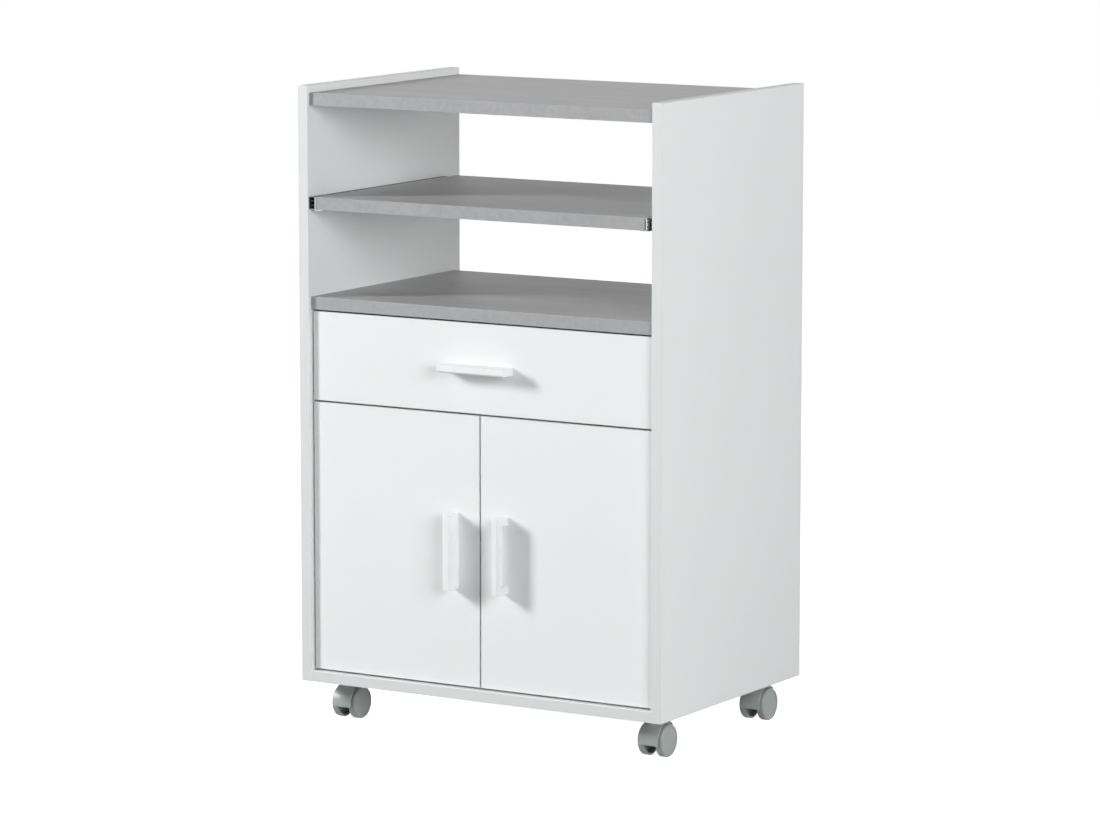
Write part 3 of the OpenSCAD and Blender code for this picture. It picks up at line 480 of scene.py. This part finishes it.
def hardboard_material():
    """Bare hardboard: matted brown fibres and a fine pressed mesh."""
    material = bpy.data.materials.new("bare_hardboard")
    material.use_nodes = True
    tree = material.node_tree
    surface = tree.nodes["Principled BSDF"]
    surface.inputs["Roughness"].default_value = 0.8
    n = shader_nodes(tree, [
        ("place", "ShaderNodeTexCoord", {}),
        ("fibres", "ShaderNodeTexNoise", {"Scale": 260, "Detail": 5, "Roughness": 0.7, "Distortion": 2}),
        ("clouds", "ShaderNodeTexNoise", {"Scale": 7, "Detail": 2}),
        ("blend", "ShaderNodeMix", {"data_type": "FLOAT", 0: 0.35}),
        ("tone", "ShaderNodeValToRGB", {}),
        ("mesh_x", "ShaderNodeTexWave", {"Scale": 160, "bands_direction": "X"}),
        ("mesh_z", "ShaderNodeTexWave", {"Scale": 160, "bands_direction": "Z"}),
        ("mesh", "ShaderNodeMath", {"operation": "MULTIPLY"}),
        ("height", "ShaderNodeMath", {"operation": "ADD"}),
        ("relief", "ShaderNodeBump", {"Distance": 0.00008, "Strength": 1}),
    ])
    ramp = n["tone"].color_ramp
    ramp.elements[0].position = 0.35
    ramp.elements[0].color = (0.23, 0.135, 0.07, 1)
    ramp.elements[1].position = 0.65
    ramp.elements[1].color = (0.40, 0.26, 0.15, 1)
    link = tree.links.new
    for texture in ("fibres", "clouds", "mesh_x", "mesh_z"):
        link(n["place"].outputs["Object"], n[texture].inputs["Vector"])
    link(n["fibres"].outputs["Fac"], n["blend"].inputs[2])
    link(n["clouds"].outputs["Fac"], n["blend"].inputs[3])
    link(n["blend"].outputs[0], n["tone"].inputs["Fac"])
    link(n["mesh_x"].outputs["Fac"], n["mesh"].inputs[0])
    link(n["mesh_z"].outputs["Fac"], n["mesh"].inputs[1])
    link(n["mesh"].outputs[0], n["height"].inputs[0])
    link(n["fibres"].outputs["Fac"], n["height"].inputs[1])
    link(n["height"].outputs[0], n["relief"].inputs["Height"])
    link(n["tone"].outputs["Color"], surface.inputs["Base Color"])
    link(n["relief"].outputs["Normal"], surface.inputs["Normal"])
    return material


def hardboard_sheet(node, body, bare_side):
    """A hardboard sheet, lacquered white on all but the side that faces along bare_side."""
    bm = node_shape(node)
    low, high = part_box(node)
    outline = [edge for edge in bm.edges if edge.calc_face_angle(0) > radians(60)
               and (edge.verts[0].co - edge.verts[1].co).length > 0.1]
    ease_edges(bm, outline, 0.0003, 2)
    for face in bm.faces:
        face.material_index = 1 if face.normal.dot(bare_side) > 0.5 else 0
    add_piece(node + "_sheet", bm, [white_lacquer, bare_hardboard], body, "hardboard", node)


bare_hardboard = hardboard_material()
white_lacquer = skin_material("white_lacquer", (0.80, 0.81, 0.805), 0.03, 12, 0.38, 0.1, 500, 0.00003)
hardboard_sheet("back_panel", "cabinet", Vector((0, 1, 0)))


# Drawer --------------------------------------------------------------------------------------------------
# A 16 mm front, faced and banded like the doors, on a box of 12 mm white-wrapped boards with a hardboard
# bottom in a groove.

faced_board("drawer_front", "drawer", "white_board", white_melamine, white_band, ("-x", "+x", "-z", "+z"))
for side in ("left", "right"):
    faced_board("drawer_side_" + side, "drawer", "white_board", white_melamine, white_band, ("+z", "+y"))
faced_board("drawer_back", "drawer", "white_board", white_melamine, white_band, ("+z",))
hardboard_sheet("drawer_bottom", "drawer", Vector((0, 0, -1)))


# Doors -----------------------------------------------------------------------------------------------
# Two 16 mm doors, white on both faces with a white band all round, drilled at the back for two hinge cups
# each and through for the handle's screws.

for side in ("left", "right"):
    faced_board(side + "_door", side + "_door", "white_board", white_melamine, white_band,
                ("-x", "+x", "-z", "+z"))


# Handles ---------------------------------------------------------------------------------------------
# Three alike, moulded in white plastic: a square bar on two feet, with a thin wall that closes one side.
# Every edge is softly rounded, and the skin has the fine spark texture of the mould.

handle_plastic = skin_material("handle_plastic", (0.86, 0.87, 0.872), 0.015, 40, 0.36, 0.08, 1800, 0.00001)
for node, body in (("drawer_handle", "drawer"), ("left_door_handle", "left_door"),
                   ("right_door_handle", "right_door")):
    bm = node_shape(node)
    outer = [edge for edge in bm.edges if edge.calc_face_angle(0) > radians(30) and edge.calc_length() > 0.0018]
    ease_edges(bm, outer, 0.0006, 3)
    add_piece(node + "_moulding", bm, [handle_plastic], body, "handle_white", node)


# Hardware ------------------------------------------------------------------------------------------------
# Steel fittings keep the imported shape: zinc-plated hinges, cams and screws, white-coated drawer runners, and
# black ball slides whose inner members end in a white angle and carry painted shade in black where they run in
# the channel. Each is welded and its sharp edges taken off.

def zinc_material(name, colour, roughness):
    """Plated or bright steel with faint crystalline clouding."""
    return skin_material(name, colour, 0.12, 90, roughness, 0.22, 320, 0.000015, Metallic=1.0)


def finish_node(node, material, ease=0.0002):
    """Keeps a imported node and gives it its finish, with its corners just taken off."""
    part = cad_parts[node]
    part.data.materials.clear()
    part.data.materials.append(material)
    weld = part.modifiers.new("weld", "WELD")
    weld.merge_threshold = weld_gap
    if ease:
        bevel = part.modifiers.new("ease", "BEVEL")
        bevel.width = ease
        bevel.segments = 2
        bevel.limit_method = "ANGLE"
        bevel.angle_limit = radians(40)
        bevel.harden_normals = True
        bevel.use_clamp_overlap = True


def slide_member_material():
    """An inner slide member: white on the angle that holds the shelf, with painted shade in black where it runs
    in the channel.
    """
    material = skin_material("slide_member", (0.82, 0.83, 0.83), 0.02, 60, 0.34, 0.12, 420, 0.00005)
    tree = material.node_tree
    base = tree.nodes["Principled BSDF"].inputs["Base Color"]
    n = shader_nodes(tree, [
        ("place", "ShaderNodeTexCoord", {}),
        ("split", "ShaderNodeSeparateXYZ", {}),
        ("reach", "ShaderNodeMath", {"operation": "ABSOLUTE"}),
        # Beyond this reach the member gets painted shade in black, standing in for the dark inside the channel.
        ("race", "ShaderNodeMath", {"operation": "GREATER_THAN", 1: painted_shade_from}),
        ("tone", "ShaderNodeMix", {"data_type": "RGBA", 7: (*slide_black_and_painted_shade, 1)}),
    ])
    tree.links.new(n["place"].outputs["Object"], n["split"].inputs[0])
    tree.links.new(n["split"].outputs["X"], n["reach"].inputs[0])
    tree.links.new(n["reach"].outputs[0], n["race"].inputs[0])
    tree.links.new(n["race"].outputs[0], n["tone"].inputs[0])
    tree.links.new(base.links[0].from_socket, n["tone"].inputs[6])
    tree.links.new(n["tone"].outputs[2], base)
    return material


# The black coat of the outer members and ball cages; the same black is painted shade on the inner members'
# running part.
slide_black_and_painted_shade = (0.023, 0.025, 0.028)
painted_shade_from = 0.2695
black_coat = skin_material("black_coat", slide_black_and_painted_shade, 0.05, 60, 0.42, 0.15, 420, 0.00004)
slide_member = slide_member_material()
zinc = zinc_material("zinc_plate", (0.70, 0.71, 0.72), 0.34)
white_epoxy = skin_material("white_epoxy", (0.82, 0.83, 0.83), 0.02, 60, 0.34, 0.12, 420, 0.00005)
nylon = skin_material("nylon", (0.80, 0.785, 0.73), 0.03, 50, 0.42, 0.1, 900, 0.00001)
for node in ("left_hinge_arms", "right_hinge_arms", "left_hinge_cups", "right_hinge_cups", "shelf_pins",
             "joint_fittings", "small_fixings", "drawer_fittings", "left_door_screws", "right_door_screws",
             "caster_plates"):
    finish_node(node, zinc)
for side in ("left", "right"):
    finish_node("shelf_slide_outer_" + side, black_coat)
    finish_node("shelf_ball_cage_" + side, black_coat)
    finish_node("shelf_slide_inner_" + side, slide_member)
    finish_node("cabinet_runner_" + side, white_epoxy)
    finish_node("drawer_runner_" + side, white_epoxy)
for node in ("drawer_roller_left", "drawer_roller_right", "cabinet_roller_left", "cabinet_roller_right"):
    finish_node(node, nylon, 0.0004)


# Casters ---------------------------------------------------------------------------------------------
# Four twin-wheel furniture casters in grey plastic: a hood over two wheels with flat discs outside, on a
# steel axle, turning on a stem in a screwed-on plate.

wheel_r = 0.023
wheel_half = 0.0195
tread_w = 0.0105
hood_in = 0.025
hood_out = 0.027
hood_half = 0.0150
hood_from = radians(-9)
hood_to = radians(129)
web_half = 0.003
hub_r = 0.006
boss_r = 0.008
caster_trail = 0.010
axle_bore = 0.00308

caster_plastic = skin_material("caster_plastic", (0.345, 0.376, 0.369), 0.03, 60, 0.38, 0.1, 1500, 0.000012)
tread_plastic = skin_material("tread_plastic", (0.33, 0.36, 0.353), 0.04, 80, 0.5, 0.1, 1200, 0.00002)


def turned(outline, steps, from_angle=0.0, sweep=2 * pi):
    """Turns an outline of (x, radius) points about the X axis; the sweep starts straight ahead, at -Y."""
    bm = bmesh.new()
    closed = abs(sweep - 2 * pi) < 1e-6
    verts = [bm.verts.new((x, -r * cos(from_angle), r * sin(from_angle))) for x, r in outline]
    edges = [bm.edges.new(pair) for pair in zip(verts, verts[1:])]
    if not closed:
        edges.append(bm.edges.new((verts[-1], verts[0])))
        start = bm.faces.new(verts)
    bmesh.ops.spin(bm, geom=[*verts, *edges] if closed else [*verts, *edges, start], cent=(0, 0, 0),
                   axis=(-1, 0, 0), angle=sweep, steps=steps, use_merge=closed, use_duplicate=False)
    bmesh.ops.remove_doubles(bm, verts=bm.verts, dist=1e-6)
    bmesh.ops.recalc_face_normals(bm, faces=bm.faces)
    return bm


def rounded(corner, radius, start, sweep, steps=4):
    """Points of a quarter round in an outline."""
    turns = [start + sweep * i / steps for i in range(steps + 1)]
    return [(corner[0] + radius * cos(turn), corner[1] + radius * sin(turn)) for turn in turns]


def join(bm, other):
    """Adds another mesh's faces to this one."""
    mesh = bpy.data.meshes.new("part")
    other.to_mesh(mesh)
    other.free()
    bm.from_mesh(mesh)
    bpy.data.meshes.remove(mesh)


def caster_wheel(place, way):
    """One wheel, its flat disc towards way: a shallow step near the rim, a round shoulder, a narrow tread."""
    shoulder, tread_round, rim_t = 0.0022, 0.0008, 0.0025
    disc_face, disc_back, hub_from, bore_end = 0.0187, 0.0173, 0.0035, 0.0168
    tread_from = wheel_half - tread_w
    outline = [(disc_face, 0), (disc_face, 0.0186), (0.0190, 0.0191), (wheel_half, 0.0196)]
    outline += rounded((wheel_half - shoulder, wheel_r - shoulder), shoulder, 0.15, pi / 2 - 0.15, 5)
    outline += rounded((tread_from + tread_round, wheel_r - tread_round), tread_round, pi / 2, pi / 2, 3)
    outline += [(tread_from, wheel_r - rim_t), (disc_back, wheel_r - rim_t), (disc_back, hub_r),
                (hub_from, hub_r), (hub_from, axle_bore), (bore_end, axle_bore), (bore_end, 0)]
    bm = turned(outline, 64)
    for face in bm.faces:
        middle = face.calc_center_median()
        if middle.yz.length > wheel_r - 0.0004:
            face.material_index = 1
    soften_shading(bm)
    if way < 0:
        bmesh.ops.scale(bm, vec=(-1, 1, 1), verts=bm.verts)
        bmesh.ops.reverse_faces(bm, faces=bm.faces)
    bmesh.ops.translate(bm, vec=place, verts=bm.verts)
    return bm


def caster_hood(place):
    """The hood with its web, hub and stem boss, about the axle's middle."""
    lip = 0.0009
    hub_half = web_half + 0.0002
    web_from, web_to, hub_bore = 0.004, hood_in + 0.0005, 0.00305
    boss_h, boss_mid = 0.021, 0.0175
    outline = (rounded((hood_half - lip, hood_out - lip), lip, 0, pi / 2, 3)
               + rounded((lip - hood_half, hood_out - lip), lip, pi / 2, pi / 2, 3)
               + [(-hood_half, hood_in), (hood_half, hood_in)])
    bm = turned(outline, 30, hood_from, hood_to - hood_from)
    ends = [edge for edge in bm.edges if len(edge.link_faces) == 2 and edge.calc_face_angle(0) > radians(60)
            and edge.calc_length() > 0.01]
    bmesh.ops.bevel(bm, geom=ends, offset=0.0005, offset_type="OFFSET", segments=2, profile=0.5,
                    affect="EDGES", clamp_overlap=True, material=-1)
    join(bm, turned([(-web_half, web_from), (-web_half, web_to), (web_half, web_to), (web_half, web_from)],
                    30, hood_from, hood_to - hood_from))
    join(bm, turned([(hub_half, hub_bore), (hub_half, hub_r), (-hub_half, hub_r), (-hub_half, hub_bore),
                     (hub_half, hub_bore)], 40))
    boss = bmesh.new()
    bmesh.ops.create_cone(boss, cap_ends=True, segments=40, radius1=boss_r, radius2=boss_r, depth=boss_h,
                          matrix=Matrix.Translation((0, -caster_trail, boss_mid)))
    join(bm, boss)
    soften_shading(bm)
    bmesh.ops.translate(bm, vec=place, verts=bm.verts)
    return bm


for corner in ("front_left", "front_right", "back_left", "back_right"):
    low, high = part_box(f"caster_{corner}_axle")
    axle_middle = (low + high) / 2
    add_piece(f"caster_{corner}_hood", caster_hood(axle_middle), [caster_plastic],
              corner + "_caster", "caster_grey", f"caster_{corner}_housing")
    for way, side in ((-1, "left"), (1, "right")):
        wheel = caster_wheel(axle_middle, way)
        add_piece(f"caster_{corner}_disc_{side}", wheel, [caster_plastic, tread_plastic],
                  f"{corner}_wheel_{side}", "caster_grey", f"caster_{corner}_wheel_{side}")
    finish_node(f"caster_{corner}_axle", zinc)
